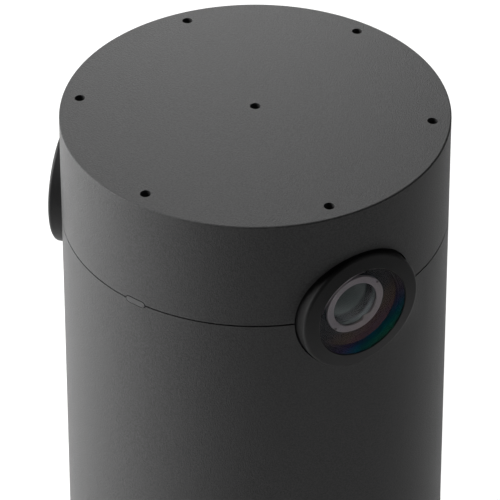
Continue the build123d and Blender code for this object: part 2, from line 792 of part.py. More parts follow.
# ---- Camera bracket -------------------------------------------------------------------------
plate_depth = MODULE_PLATE[1] - MODULE_PLATE[0]
plate_foot = BRACKET_TOP - ROOT - SEAM_HEIGHT
with BuildPart() as camera_bracket:
    with BuildSketch(Plane.XY.offset(BRACKET_BOTTOM)):
        Circle(BRACKET_RADIUS)
        with Locations((0, 16)):
            RectangleRounded(26, 16, 3, mode=Mode.SUBTRACT)
        with Locations(*ring_of(CAP_BOSS_AZIMUTHS, CAP_BOSS_RING)):
            Circle(M2_5[0] + FIT, mode=Mode.SUBTRACT)
        with Locations(*ring_of(SPACER_AZIMUTHS, SPACER_RING)):
            Circle(M3[0] + FIT, mode=Mode.SUBTRACT)
        with Locations((0, -BRACKET_RADIUS)):
            Rectangle(8, 5, mode=Mode.SUBTRACT)
        for lens_azimuth in LENS_AZIMUTHS.values():
            with Locations(Location((*at(lens_azimuth, cable_depth + 1), 0), (0, 0, lens_azimuth))):
                Rectangle(CAMERA_CABLE + 2, 5, mode=Mode.SUBTRACT)
    extrude(amount=BRACKET_TOP - BRACKET_BOTTOM)
    for lens_azimuth in LENS_AZIMUTHS.values():
        with BuildSketch(lens_plane(lens_azimuth, MODULE_PLATE[0])):
            with Locations((0, (SENSOR_BOARD / 2 + plate_foot) / 2)):
                Rectangle(SENSOR_BOARD, SENSOR_BOARD / 2 - plate_foot)
            Circle(MODULE_WINDOW, mode=Mode.SUBTRACT)
        extrude(amount=plate_depth)
        with BuildSketch(lens_plane(lens_azimuth, MODULE_PLATE[0])):
            with GridLocations(MODULE_HOLE_SPACING, MODULE_HOLE_SPACING, 2, 2):
                Circle(MODULE_POST)
        extrude(amount=SENSOR_PLANE - BOARD - MODULE_PLATE[0])
        with BuildSketch(lens_plane(lens_azimuth, MODULE_PLATE[0] - 1)):
            with GridLocations(MODULE_HOLE_SPACING, MODULE_HOLE_SPACING, 2, 2):
                Circle(M2[0] + THREAD_FIT)
        extrude(amount=8, mode=Mode.SUBTRACT)
    with BuildSketch(Plane.XY.offset(BRACKET_TOP - ROOT)):
        with Locations((0, plate_depth / 2 - finger_front)):
            Rectangle(LED_BOARD[0] - 4, plate_depth)
    extrude(amount=SEAM_HEIGHT - BRACKET_TOP + LED_BOARD[1] / 2)
save(camera_bracket, "camera_bracket")

cap_screws = screw_set(
    [(facing_down(BRACKET_BOTTOM), seen_from_below(ring_of(CAP_BOSS_AZIMUTHS, CAP_BOSS_RING)))],
    M2_5,
    BRACKET_TOP - BRACKET_BOTTOM + 8,
)
save(cap_screws, "cap_screws")

# ---- Main board and what stands on it --------------------------------------------------------
with BuildPart() as spacer_posts:
    with BuildSketch(Plane.XY.offset(MAIN_BOARD_TOP)):
        with Locations(*ring_of(SPACER_AZIMUTHS, SPACER_RING)):
            RegularPolygon(radius=STANDOFF_HEX, side_count=6)
    extrude(amount=BRACKET_BOTTOM - MAIN_BOARD_TOP)
    add(
        bores(
            Plane.XY.offset(BRACKET_BOTTOM),
            ring_of(SPACER_AZIMUTHS, SPACER_RING),
            M3[0] + THREAD_FIT,
            8,
        ),
        mode=Mode.SUBTRACT,
    )
    with BuildSketch(Plane.XY.offset(MAIN_BOARD_TOP)):
        with Locations(*ring_of(SPACER_AZIMUTHS, SPACER_RING)):
            Circle(M3[0])
    extrude(amount=-STUD_LENGTH)
save(spacer_posts, "spacer_posts")

with BuildPart() as main_board:
    with BuildSketch(Plane.XY.offset(MAIN_BOARD_BOTTOM)):
        Circle(MAIN_RADIUS)
        with Locations(*ring_of(SPACER_AZIMUTHS, SPACER_RING)):
            Circle(M3[0] + FIT, mode=Mode.SUBTRACT)
    extrude(amount=BOARD)
save(main_board, "main_board")

with BuildPart() as processor:
    with BuildSketch(Plane.XY.offset(PLATFORM_TOP + PAD)):
        Rectangle(CHIP_SIZE, CHIP_SIZE)
    extrude(amount=MAIN_BOARD_BOTTOM - PLATFORM_TOP - PAD)
save(processor, "processor")

with BuildPart() as thermal_pad:
    with BuildSketch(Plane.XY.offset(PLATFORM_TOP)):
        Rectangle(CHIP_SIZE, CHIP_SIZE)
    extrude(amount=PAD)
save(thermal_pad, "thermal_pad")

with BuildPart() as shield_can:
    with BuildSketch(Plane.XY.offset(MAIN_BOARD_TOP)):
        with Locations(CAN_PLACE):
            RectangleRounded(*CAN_SIZE[:2], 1)
    extrude(amount=CAN_SIZE[2])
    fillet(edges().group_by(Axis.Z)[-1], CAN_WALL)
    with BuildSketch(Plane.XY.offset(MAIN_BOARD_TOP)):
        with Locations(CAN_PLACE):
            RectangleRounded(CAN_SIZE[0] - 2 * CAN_WALL, CAN_SIZE[1] - 2 * CAN_WALL, 1 - CAN_WALL)
    extrude(amount=CAN_SIZE[2] - CAN_WALL, mode=Mode.SUBTRACT)
save(shield_can, "shield_can")

with BuildPart() as board_chips:
    with BuildSketch(Plane.XY.offset(MAIN_BOARD_TOP)):
        with Locations(*MEMORY_PLACES):
            Rectangle(*MEMORY_SIZE)
        with Locations(CAN_PLACE):
            Rectangle(*RADIO_SIZE)
    extrude(amount=CHIP_HEIGHT)
    with BuildSketch(Plane.XY.offset(MAIN_BOARD_TOP)):
        with Locations(*COIL_PLACES):
            RectangleRounded(COIL_SIZE[0], COIL_SIZE[0], 1)
    extrude(amount=COIL_SIZE[1])
save(board_chips, "board_chips")

main_sockets = [
    (Location((*at(lens_azimuth, cable_depth), 0), (0, 0, lens_azimuth)), CAMERA_CABLE)
    for lens_azimuth in LENS_AZIMUTHS.values()
]
main_sockets += [
    (Location((0, MIC_CABLE_Y, 0)), MIC_CABLE),
    (Location((0, LIGHT_CABLE_Y, 0)), LIGHT_CABLE),
    (Location((0, IO_CABLE_Y, 0)), IO_CABLE),
]
io_sockets = [(Location((0, IO_CONNECTOR_Y, 0)), IO_CABLE)]
with BuildPart() as board_connectors:
    for board_top, sockets in ((MAIN_BOARD_TOP, main_sockets), (IO_BOARD_TOP, io_sockets)):
        with BuildSketch(Plane.XY.offset(board_top)):
            for place, cable_width in sockets:
                with Locations(place):
                    Rectangle(cable_width + 2 * CONNECTOR_RIM, CONNECTOR_DEPTH)
                    Rectangle(cable_width + 4 * FIT, CONNECTOR_SLOT, mode=Mode.SUBTRACT)
        extrude(amount=CONNECTOR_HEIGHT)
save(board_connectors, "board_connectors")

mic_cable_top = MIC_BOARD_TOP - BOARD - CABLE / 2
mic_flex = flat_cable(
    Plane.YZ,
    [
        (MIC_CABLE_Y - 6, mic_cable_top),
        (MIC_CABLE_Y, mic_cable_top),
        (MIC_CABLE_Y, 245),
        (MIC_CABLE_Y - 1.5, 235),
        (MIC_CABLE_Y, 215),
        (MIC_CABLE_Y, cable_foot),
    ],
    1.2,
    MIC_CABLE,
)
save(mic_flex, "mic_flex")

light_cable_y = -(led_board_front + CABLE / 2)
light_flex = flat_cable(
    Plane.YZ,
    [
        (light_cable_y, SEAM_HEIGHT - 1.5),
        (light_cable_y, 220),
        (LIGHT_CABLE_Y, 212),
        (LIGHT_CABLE_Y, cable_foot),
    ],
    2.0,
    LIGHT_CABLE,
)
save(light_flex, "light_flex")

# ---- Chassis and heat sink -------------------------------------------------------------------
with BuildPart() as chassis_frame:
    with BuildSketch(Plane.XY.offset(FOOT_PLATE[0])):
        Circle(MAIN_RADIUS)
        Circle(HUB_RADIUS + 4, mode=Mode.SUBTRACT)
        with Locations(*ring_of(SPACER_AZIMUTHS, BASE_BOSS_RING)):
            Circle(BASE_BOSS_RADIUS + ROOT, mode=Mode.SUBTRACT)
        with Locations(*ring_of(CHASSIS_SCREW_AZIMUTHS, CHASSIS_SCREW_RING)):
            Circle(M3[0] + FIT, mode=Mode.SUBTRACT)
    extrude(amount=FOOT_PLATE[1] - FOOT_PLATE[0])
    with BuildSketch(Plane.XY.offset(PLATFORM_BOTTOM)):
        Circle(MAIN_RADIUS)
        with Locations(*ring_of(POST_AZIMUTHS, SINK_SCREW_RING)):
            Circle(M3[0] + FIT, mode=Mode.SUBTRACT)
    extrude(amount=PLATFORM_TOP - PLATFORM_BOTTOM)
    with BuildSketch(Plane.XY.offset(FOOT_PLATE[1] - ROOT)):
        for azimuth in RAIL_AZIMUTHS:
            with Locations(Location((*at(azimuth, RAIL_RING), 0), (0, 0, azimuth))):
                Rectangle(*RAIL_SIZE)
    extrude(amount=PLATFORM_BOTTOM - FOOT_PLATE[1] + 2 * ROOT)
    with BuildSketch(Plane.XY.offset(PLATFORM_TOP - ROOT)):
        with Locations(*ring_of(SPACER_AZIMUTHS, SPACER_RING)):
            Circle(STANDOFF_RADIUS)
    extrude(amount=MAIN_BOARD_BOTTOM - PLATFORM_TOP + ROOT)
    io_board_bottom = IO_BOARD_TOP - BOARD
    with BuildSketch(Plane.XY.offset(FOOT_PLATE[1] - ROOT)):
        with Locations(*IO_SCREWS):
            Circle(IO_POST_RADIUS)
    extrude(amount=io_board_bottom - FOOT_PLATE[1] + ROOT)
    add(
        bores(Plane.XY.offset(io_board_bottom), IO_SCREWS, M2[0] + THREAD_FIT, IO_POST_DRILLING),
        mode=Mode.SUBTRACT,
    )
    add(
        bores(
            Plane.XY.offset(MAIN_BOARD_BOTTOM),
            ring_of(SPACER_AZIMUTHS, SPACER_RING),
            M3[0] + THREAD_FIT,
            STUD_LENGTH - BOARD + ROOT,
        ),
        mode=Mode.SUBTRACT,
    )
save(chassis_frame, "chassis_frame")

with BuildPart() as heat_sink:
    with BuildSketch(Plane.XY.offset(SINK_BOTTOM)):
        Circle(SINK_CORE)
        with PolarLocations(SINK_RADIUS / 2, SINK_FINS):
            Rectangle(SINK_RADIUS, SINK_FIN)
    extrude(amount=PLATFORM_BOTTOM - SINK_BOTTOM)
    with BuildSketch(Plane.XY.offset(PLATFORM_BOTTOM - SINK_TOP)):
        Circle(SINK_RADIUS)
    extrude(amount=SINK_TOP)
    with BuildSketch(Plane.XY.offset(PLATFORM_BOTTOM - SINK_TOP)):
        with Locations(*ring_of(POST_AZIMUTHS, SINK_SCREW_RING)):
            Circle(M3[0] + THREAD_FIT)
    extrude(amount=SINK_TOP, mode=Mode.SUBTRACT)
save(heat_sink, "heat_sink")

# ---- Socket bay -----------------------------------------------------------------------------
bay_outer = (BAY_SIZE[0] + 2 * BAY_WALL, BAY_SIZE[1] + 2 * BAY_WALL)
panel_back = PANEL_FACE - PANEL
with BuildPart() as port_panel:
    with BuildSketch(Plane.XZ.offset(-panel_back)):
        with Locations((0, BAY_HEIGHT)):
            RectangleRounded(*bay_outer, BAY_CORNER + BAY_WALL)
    extrude(amount=-BAY_REACH)
    with BuildSketch(Plane.XZ.offset(-PANEL_FACE)):
        with Locations((0, BAY_HEIGHT)):
            RectangleRounded(*BAY_SIZE, BAY_CORNER)
    extrude(amount=-BAY_REACH, mode=Mode.SUBTRACT)
    add(solid_column(FIT, SHELL_BOTTOM, RIM_HEIGHT), mode=Mode.INTERSECT)
    with BuildSketch(Plane.XZ.offset(-panel_back)):
        with Locations((JACK_X, IO_BOARD_TOP + JACK_SIZE[2] / 2)):
            Rectangle(JACK_SIZE[0] + 2 * FIT, JACK_SIZE[2] + 2 * FIT)
        with Locations((USB_X, IO_BOARD_TOP + USB_SIZE[2] / 2)):
            RectangleRounded(USB_SIZE[0] + 2 * FIT, USB_SIZE[2] + 2 * FIT, USB_CORNER + FIT)
        with Locations((BUTTON_X, BUTTON_HEIGHT)):
            Circle(BUTTON_RADIUS + BUTTON_FIT)
    extrude(amount=-PANEL, mode=Mode.SUBTRACT)
save(port_panel, "port_panel")

with BuildPart() as io_board:
    with BuildSketch(Plane.XY.offset(IO_BOARD_TOP - BOARD)):
        with Locations((0, sum(IO_BOARD_SPAN) / 2)):
            RectangleRounded(IO_BOARD_WIDTH, IO_BOARD_SPAN[1] - IO_BOARD_SPAN[0], 1)
        with Locations(*IO_SCREWS):
            Circle(M2[0] + FIT, mode=Mode.SUBTRACT)
    extrude(amount=BOARD)
save(io_board, "io_board")

mouth_floor = IO_BOARD_TOP + JACK_FLOOR
mouth_top = mouth_floor + JACK_MOUTH[1]
with BuildPart() as network_jack:
    with BuildSketch(Plane.XZ.offset(-PANEL_FACE)):
        with Locations((JACK_X, IO_BOARD_TOP + JACK_SIZE[2] / 2)):
            Rectangle(JACK_SIZE[0], JACK_SIZE[2])
    extrude(amount=JACK_SIZE[1])
    fillet(edges().filter_by(Axis.Y), 0.3)
    with BuildSketch(Plane.XZ.offset(-PANEL_FACE)):
        with Locations((JACK_X, (mouth_floor + mouth_top) / 2)):
            Rectangle(*JACK_MOUTH)
        for step_width, step_rise in JACK_STEPS:
            with Locations((JACK_X, mouth_top + step_rise)):
                Rectangle(step_width, JACK_STEP_HEIGHT)
    extrude(amount=JACK_DEPTH, mode=Mode.SUBTRACT)
save(network_jack, "network_jack")

contact_floor = mouth_floor + CONTACT_SIZE[1] / 2 + FIT / 2
with BuildPart() as jack_contacts:
    for place in range(CONTACTS):
        contact_x = JACK_X + (place - (CONTACTS - 1) / 2) * CONTACT_PITCH
        with BuildSketch(Plane.YZ.offset(contact_x)):
            with BuildLine():
                FilletPolyline(
                    (PANEL_FACE - JACK_DEPTH, contact_floor),
                    (PANEL_FACE - CONTACT_RUN[0], contact_floor),
                    (PANEL_FACE - CONTACT_RUN[1], contact_floor + CONTACT_RISE),
                    radius=0.45,
                )
            trace(line_width=CONTACT_SIZE[1])
        extrude(amount=CONTACT_SIZE[0] / 2, both=True)
save(jack_contacts, "jack_contacts")

usb_center = IO_BOARD_TOP + USB_SIZE[2] / 2
with BuildPart() as usb_socket:
    with BuildSketch(Plane.XZ.offset(-PANEL_FACE)):
        with Locations((USB_X, usb_center)):
            RectangleRounded(USB_SIZE[0], USB_SIZE[2], USB_CORNER)
    extrude(amount=USB_SIZE[1])
    with BuildSketch(Plane.XZ.offset(-PANEL_FACE)):
        with Locations((USB_X, usb_center)):
            inner_size = (USB_SIZE[0] - 2 * USB_WALL, USB_SIZE[2] - 2 * USB_WALL)
            RectangleRounded(*inner_size, USB_CORNER - USB_WALL)
    extrude(amount=USB_SIZE[1] - USB_BACK, mode=Mode.SUBTRACT)
save(usb_socket, "usb_socket")

usb_back_wall = Plane.XZ.offset(-(PANEL_FACE - USB_SIZE[1] + USB_BACK))
with BuildPart() as usb_tongue:
    for tongue_width, tongue_height, tongue_reach in (USB_TONGUE, USB_TONGUE_ROOT):
        with BuildSketch(usb_back_wall):
            with Locations((USB_X, usb_center)):
                RectangleRounded(tongue_width, tongue_height, 0.4 * tongue_height)
        extrude(amount=-tongue_reach)
save(usb_tongue, "usb_tongue")

flange_rear = panel_back - FIT / 2
stem_end = SWITCH_FRONT + SWITCH_PLUNGER[1] + BUTTON_TRAVEL + FIT / 2
with BuildPart() as power_button:
    with BuildSketch(Plane.XZ.offset(-flange_rear)):
        with Locations((BUTTON_X, BUTTON_HEIGHT)):
            Circle(BUTTON_RADIUS)
    extrude(amount=-(PANEL_FACE + BUTTON_PROUD - flange_rear))
    fillet(edges().filter_by(GeomType.CIRCLE).sort_by(Axis.Y)[-1], 0.3)
    with BuildSketch(Plane.XZ.offset(-flange_rear)):
        with Locations((BUTTON_X, BUTTON_HEIGHT)):
            Circle(BUTTON_FLANGE[0])
    extrude(amount=BUTTON_FLANGE[1])
    with BuildSketch(Plane.XZ.offset(-flange_rear)):
        with Locations((BUTTON_X, BUTTON_HEIGHT)):
            Circle(BUTTON_STEM)
    extrude(amount=flange_rear - stem_end)
save(power_button, "power_button")

with BuildPart() as button_switch:
    with BuildSketch(Plane.XZ.offset(-SWITCH_FRONT)):
        with Locations((BUTTON_X, IO_BOARD_TOP + SWITCH_SIZE[1] / 2)):
            Rectangle(*SWITCH_SIZE[:2])
    extrude(amount=SWITCH_SIZE[2])
    with BuildSketch(Plane.XZ.offset(-SWITCH_FRONT)):
        with Locations((BUTTON_X, BUTTON_HEIGHT)):
            Circle(SWITCH_PLUNGER[0])
    extrude(amount=-SWITCH_PLUNGER[1])
save(button_switch, "button_switch")

wall_run = MAIN_RADIUS + 1.6
io_flex = flat_cable(
    Plane.YZ,
    [
        (IO_CONNECTOR_Y, IO_BOARD_TOP + CABLE_ENTRY),
        (IO_CONNECTOR_Y, 44),
        (wall_run, 78),
        (wall_run, 209),
        (IO_CABLE_Y, 211),
        (IO_CABLE_Y, cable_foot),
    ],
    2.0,
    IO_CABLE,
)
save(io_flex, "io_flex")

# ---- Screws of the frame and of the boards ---------------------------------------------------
frame_screws = screw_set(
    [
        (Plane.XY.offset(BRACKET_TOP), ring_of(SPACER_AZIMUTHS, SPACER_RING)),
        (Plane.XY.offset(PLATFORM_TOP), ring_of(POST_AZIMUTHS, SINK_SCREW_RING)),
        (Plane.XY.offset(FOOT_PLATE[1]), ring_of(CHASSIS_SCREW_AZIMUTHS, CHASSIS_SCREW_RING)),
    ],
    M3,
    7.5,
)
save(frame_screws, "frame_screws")

board_screws = screw_set(
    [
        (
            facing_down(MIC_BOARD_TOP - BOARD),
            seen_from_below(ring_of(POST_AZIMUTHS, POST_RING)),
        ),
        (Plane.XY.offset(IO_BOARD_TOP), IO_SCREWS),
    ],
    M2,
    BOARD + 1.8,
)
save(board_screws, "board_screws")

# ---- Base -----------------------------------------------------------------------------------
with BuildPart() as base_cover:
    with BuildSketch(Plane.XY.offset(SHELL_BOTTOM)):
        Circle(COVER_RADIUS)
    extrude(amount=COVER_TOP - SHELL_BOTTOM)
    with BuildSketch(Plane.XY.offset(SHELL_BOTTOM)):
        Circle(HUB_RADIUS)
    extrude(amount=FOOT_PLATE[0] - SHELL_BOTTOM)
    with BuildSketch(Plane.XY.offset(SHELL_BOTTOM)):
        Circle(FOOT_RADII[1] + FIT)
        Circle(FOOT_RADII[0] - FIT, mode=Mode.SUBTRACT)
    extrude(amount=FOOT_RECESS, mode=Mode.SUBTRACT)
    add(
        bores(
            Plane.XY.offset(COVER_TOP),
            ring_of(SPACER_AZIMUTHS, BASE_BOSS_RING),
            M2_5[0] + FIT,
            COVER_TOP,
        ),
        mode=Mode.SUBTRACT,
    )
    add(
        bores(
            Plane.XY.offset(SHELL_BOTTOM + M2_5[2]),
            ring_of(SPACER_AZIMUTHS, BASE_BOSS_RING),
            M2_5[1] + HEAD_POCKET,
            2 * M2_5[2],
        ),
        mode=Mode.SUBTRACT,
    )
    add(
        bores(
            Plane.XY.offset(COVER_TOP),
            ring_of(POST_AZIMUTHS, BALLAST_SCREW_RING),
            M2_5[0] + FIT,
            COVER_TOP,
        ),
        mode=Mode.SUBTRACT,
    )
    add(
        bores(
            Plane.XY.offset(SHELL_BOTTOM + M2_5[2]),
            ring_of(POST_AZIMUTHS, BALLAST_SCREW_RING),
            M2_5[1] + HEAD_POCKET,
            2 * M2_5[2],
        ),
        mode=Mode.SUBTRACT,
    )
    add(bores(Plane.XY.offset(INSERT_TOP), [(0, 0)], INSERT_RADIUS, INSERT_TOP), mode=Mode.SUBTRACT)
save(base_cover, "base_cover")

with BuildPart() as tripod_insert:
    with BuildSketch(Plane.XY.offset(SHELL_BOTTOM)):
        Circle(INSERT_RADIUS)
        Circle(INSERT_BORE, mode=Mode.SUBTRACT)
    extrude(amount=INSERT_TOP - SHELL_BOTTOM)
save(tripod_insert, "tripod_insert")

with BuildPart() as ballast_weight:
    with BuildSketch(Plane.XY.offset(COVER_TOP)):
        Circle(BALLAST_RADIUS)
        Circle(HUB_RADIUS + HEAD_POCKET, mode=Mode.SUBTRACT)
        with Locations(*ring_of(POST_AZIMUTHS, BALLAST_SCREW_RING)):
            Circle(M2_5[0] + THREAD_FIT, mode=Mode.SUBTRACT)
        with Locations(*ring_of(CHASSIS_SCREW_AZIMUTHS, CHASSIS_SCREW_RING)):
            Circle(M3[0] + THREAD_FIT, mode=Mode.SUBTRACT)
    extrude(amount=FOOT_PLATE[0] - COVER_TOP)
save(ballast_weight, "ballast_weight")

head_seat = facing_down(SHELL_BOTTOM + M2_5[2])
base_places = ring_of(SPACER_AZIMUTHS, BASE_BOSS_RING) + ring_of(POST_AZIMUTHS, BALLAST_SCREW_RING)
base_screws = screw_set([(head_seat, seen_from_below(base_places))], M2_5, BASE_SCREW)
save(base_screws, "base_screws")

with BuildPart() as rubber_foot:
    with BuildSketch():
        Circle(FOOT_RADII[1])
        Circle(FOOT_RADII[0], mode=Mode.SUBTRACT)
    extrude(amount=SHELL_BOTTOM + FOOT_RECESS)
    fillet(edges().filter_by(GeomType.CIRCLE).group_by(Axis.Z)[0], FOOT_FILLET)
save(rubber_foot, "rubber_foot")
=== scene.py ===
"""Looks of the table-top twin-lens camera. Metres, +Z up, the status light faces -Y."""
import json
from math import cos, radians, sin

import bpy
from mathutils import Matrix, Vector


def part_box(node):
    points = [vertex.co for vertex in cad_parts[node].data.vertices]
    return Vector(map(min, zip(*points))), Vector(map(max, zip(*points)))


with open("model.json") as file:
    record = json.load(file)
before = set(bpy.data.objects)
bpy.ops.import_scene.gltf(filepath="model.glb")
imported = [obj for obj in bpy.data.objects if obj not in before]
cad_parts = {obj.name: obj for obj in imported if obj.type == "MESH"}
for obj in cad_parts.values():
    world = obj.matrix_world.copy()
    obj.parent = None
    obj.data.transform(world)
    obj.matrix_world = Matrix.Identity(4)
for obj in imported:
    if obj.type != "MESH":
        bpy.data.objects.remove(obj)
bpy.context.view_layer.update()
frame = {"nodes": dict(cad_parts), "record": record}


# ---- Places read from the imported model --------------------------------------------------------
def middle(node):
    """Centre of a CAD node's box."""
    low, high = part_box(node)
    return (Vector(low) + Vector(high)) / 2


DOME_RISE = 0.0011  # height of the domed top above the rim
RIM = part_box("top_cap")[1][2] - DOME_RISE
GLASS = middle("front_glass_a")
SEAM = GLASS.z
TO_REAR_AND_DOWN = Vector((0, 0.6, -0.8))

# ---- Scales of surface detail: features per metre, and depths in metres --------------------------
SHELL_GRAIN = 2600.0
BEZEL_GRAIN = 3600.0
BARREL_GRAIN = 3200.0
RING_GRAIN = 3000.0
SHELL_RELIEF = 0.00008
FINE_RELIEF = 0.00001
TRACK_RELIEF = 0.00002

# ---- Front glass: settings chosen for the colours seen in the main view, not physical values -----
FILM_INDEX = 1.15
FILM_NANOMETRES = (505.0, 668.0)
FILM_REACH = (0.0035, 0.0092)  # distances along the slope between which the film thickens
GLASS_INDEX = (1.16, 1.27)
GLASS_REACH = (0.0, 0.0095)

# ---- Inner glass: a dark band painted in place as a painted reflection, between these distances along the slope ---
DARK_REFLECTION_START = (-0.0018, -0.0010)
DARK_REFLECTION_END = (0.0004, 0.0016)


# ---- Materials --------------------------------------------------------------------------------
class Nodes:
    """Short way to build a material's node tree round one Principled shader."""

    def __init__(self, name):
        self.material = bpy.data.materials.new(name)
        self.material.use_nodes = True
        self.tree = self.material.node_tree
        self.shader = self.tree.nodes["Principled BSDF"]
        self.place = self.add("ShaderNodeTexCoord").outputs["Object"]

    def add(self, kind, **settings):
        node = self.tree.nodes.new(kind)
        for key, value in settings.items():
            setattr(node, key, value)
        return node

    def link(self, source, target):
        self.tree.links.new(source, target)

    def set(self, **values):
        """Set plain values on the shader: set(Roughness=0.5, Coat_Weight=0.1)."""
        for key, value in values.items():
            self.shader.inputs[key.replace("_", " ")].default_value = value

    def stretched(self, scale):
        """The object's own space, squeezed along each axis."""
        mapping = self.add("ShaderNodeMapping")
        mapping.inputs["Scale"].default_value = scale
        self.link(self.place, mapping.inputs["Vector"])
        return mapping.outputs["Vector"]

    def noise(self, scale, detail=3.0, roughness=0.55, stretch=None):
        """Noise with a number of features per metre."""
        texture = self.add("ShaderNodeTexNoise")
        texture.inputs["Scale"].default_value = scale
        texture.inputs["Detail"].default_value = detail
        texture.inputs["Roughness"].default_value = roughness
        place = self.stretched(stretch) if stretch else self.place
        self.link(place, texture.inputs["Vector"])
        return texture.outputs["Fac"]

    def cells(self, scale, output="Distance"):
        """Irregular cells with a number of cells per metre."""
        texture = self.add("ShaderNodeTexVoronoi")
        texture.inputs["Scale"].default_value = scale
        self.link(self.place, texture.inputs["Vector"])
        return texture.outputs[output]

    def span(self, source, low, high, from_low=0.0, from_high=1.0):
        """Map a value from one range to another."""
        node = self.add("ShaderNodeMapRange")
        for name, value in (
            ("From Min", from_low),
            ("From Max", from_high),
            ("To Min", low),
            ("To Max", high),
        ):
            node.inputs[name].default_value = value
        self.link(source, node.inputs["Value"])
        return node.outputs["Result"]

    def mix(self, factor, first, second):
        """Blend two colours, each a socket or a plain colour."""
        node = self.add("ShaderNodeMix", data_type="RGBA")
        for socket, value in ((node.inputs[6], first), (node.inputs[7], second)):
            if isinstance(value, tuple):
                socket.default_value = (*value, 1)
            else:
                self.link(value, socket)
        self.link(factor, node.inputs["Factor"])
        return node.outputs[2]

    def math(self, operation, first, second):
        """One math node on two sockets or numbers."""
        node = self.add("ShaderNodeMath", operation=operation)
        for socket, value in zip(node.inputs, (first, second)):
            if isinstance(value, (int, float)):
                socket.default_value = value
            else:
                self.link(value, socket)
        return node.outputs["Value"]

    def along(self, direction, start):
        """Distance of the surface along a direction, from a start point."""
        offset = self.add("ShaderNodeVectorMath", operation="SUBTRACT")
        self.link(self.place, offset.inputs[0])
        offset.inputs[1].default_value = start
        dot = self.add("ShaderNodeVectorMath", operation="DOT_PRODUCT")
        self.link(offset.outputs["Vector"], dot.inputs[0])
        dot.inputs[1].default_value = direction
        return dot.outputs["Value"]

    def edges(self, radius, high):
        """How sharply the surface turns nearby: 0 on flat faces, high on edges."""
        bevel = self.add("ShaderNodeBevel", samples=4)
        bevel.inputs["Radius"].default_value = radius
        geometry = self.add("ShaderNodeNewGeometry")
        dot = self.add("ShaderNodeVectorMath", operation="DOT_PRODUCT")
        self.link(bevel.outputs["Normal"], dot.inputs[0])
        self.link(geometry.outputs["Normal"], dot.inputs[1])
        return self.span(dot.outputs["Value"], high, 0.0, 0.85, 1.0)

    def bump(self, height, distance):
        node = self.add("ShaderNodeBump")
        node.inputs["Distance"].default_value = distance
        self.link(height, node.inputs["Height"])
        return node.outputs["Normal"]

    def finish(self, colour=None, roughness=None, normal=None):
        """Join the finished colour, roughness and bump to the shader."""
        for source, name in ((colour, "Base Color"), (roughness, "Roughness"), (normal, "Normal")):
            if source:
                self.link(source, self.shader.inputs[name])
        return self.material


def shade(colour, factor):
    """A colour made lighter or darker, and never brighter than white."""
    return tuple(min(1.0, channel * factor) for channel in colour)


def moulded_plastic(name, colour, rough, gloss=0.5, speckle=0.3, grain=SHELL_GRAIN, relief=0.00003):
    """Fine spark-eroded moulding texture: grain, faint speckle and edges lightened, partly rubbed
    wear and partly a painted highlight.
    """
    n = Nodes(name)
    n.set(Specular_IOR_Level=gloss)
    fine = n.noise(grain, 2.0, 0.6)
    pits = n.cells(1.4 * grain)
    broad = n.noise(26.0, 4.0)
    light = shade(colour, 1 + speckle)
    base = n.mix(n.span(fine, 0, 1, 0.38, 0.62), shade(colour, 1 - 0.6 * speckle), light)
    base = n.mix(n.span(broad, 0, 0.25, 0.35, 0.65), base, light)
    # edges lightened: partly rubbed wear, partly a painted highlight
    base = n.mix(n.edges(0.0004, 0.4), base, shade(colour, 2.0))
    handled = n.span(broad, -0.02, 0.03)
    roughness = n.math("ADD", n.span(fine, rough - 0.05, rough + 0.06, 0.3, 0.7), handled)
    height = n.math("ADD", fine, n.math("MULTIPLY", pits, 0.5))
    return n.finish(base, roughness, n.bump(height, relief))


def soft_rubber(name, colour, rough=0.75):
    """Matte rubber with dusty bloom and a fine pitted surface."""
    n = Nodes(name)
    n.set(Specular_IOR_Level=0.3)
    dust = n.noise(220.0, 5.0, 0.65)
    bloom = tuple(2.0 * channel + 0.02 for channel in colour)
    base = n.mix(n.span(dust, 0, 0.6, 0.45, 0.75), colour, bloom)
    return n.finish(base, n.span(dust, rough - 0.08, rough + 0.1), n.bump(n.cells(3200.0), 0.00004))


def metal(name, colour, rough, texture="fine", grain_axis=None, tarnish=0.5):
    """Bare or plated metal, brushed along an axis, cast or fine, with tarnish in patches."""
    n = Nodes(name)
    n.set(Metallic=1.0)
    broad = n.noise(90.0, 5.0, 0.6)
    base = n.mix(n.span(broad, 0, tarnish, 0.45, 0.8), colour, shade(colour, 0.72))
    base = n.mix(n.edges(0.0003, 0.5), base, shade(colour, 1.25))
    scale, detail, depth = {
        "brushed": (900.0, 4.0, 0.00002),
        "cast": (1500.0, 4.0, 0.00008),
        "fine": (2400.0, 2.0, 0.00001),
    }[texture]
    grain = n.noise(scale, detail, 0.65, grain_axis)
    stained = n.span(broad, -0.03, 0.05)
    roughness = n.math("ADD", n.span(grain, rough - 0.07, rough + 0.09), stained)
    return n.finish(base, roughness, n.bump(grain, depth))


def circuit_board(name):
    """Green solder mask with copper tracks and vias that show faintly under it."""
    n = Nodes(name)
    n.set(Coat_Weight=0.3, Coat_Roughness=0.2)
    patches = n.cells(420.0, "Color")
    tracks = n.add("ShaderNodeTexBrick", offset=0.37, squash=0.6, squash_frequency=3)
    tracks.inputs["Scale"].default_value = 330.0
    tracks.inputs["Mortar Size"].default_value = 0.028
    n.link(n.place, tracks.inputs["Vector"])
    base = n.mix(n.span(patches, 0, 0.5), (0.006, 0.05, 0.024), (0.01, 0.075, 0.035))
    base = n.mix(tracks.outputs["Fac"], base, (0.03, 0.17, 0.075))
    vias = n.span(n.cells(640.0), 1.0, 0.0, 0.09, 0.11)
    base = n.mix(vias, base, (0.55, 0.42, 0.2))
    height = n.math("ADD", tracks.outputs["Fac"], vias)
    return n.finish(base, n.span(patches, 0.3, 0.42), n.bump(height, TRACK_RELIEF))


